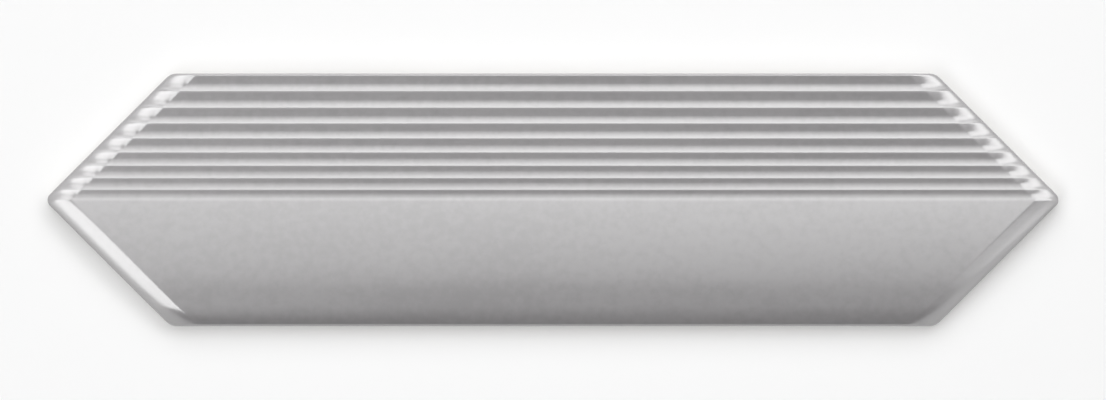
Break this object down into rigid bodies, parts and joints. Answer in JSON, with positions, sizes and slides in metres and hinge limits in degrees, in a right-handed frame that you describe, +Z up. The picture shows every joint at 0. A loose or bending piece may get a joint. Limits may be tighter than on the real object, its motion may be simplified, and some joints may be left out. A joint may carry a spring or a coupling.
{
  "type": "picket subway tile",
  "caption": "Long hexagonal glazed ceramic wall tile with pointed ends; one half of its face is stepped into graduated lengthwise flutes, the other is a smooth gentle crown.",
  "frame": {"origin": "centre of the bounding box in plan, on the bed face", "axes": "+Z is up, out of the glazed face; X runs along the tile from point to point; +Y points from the smooth half to the fluted half"},
  "size_m": [0.3, 0.075, 0.0095],
  "materials": {
    "tile": "neutral mid-grey satin-gloss glaze over the face and sides, bare fired body on the bed face"
  },
  "bodies": {
    "root": {"tile": "tile"}
  },
  "joints": []
}
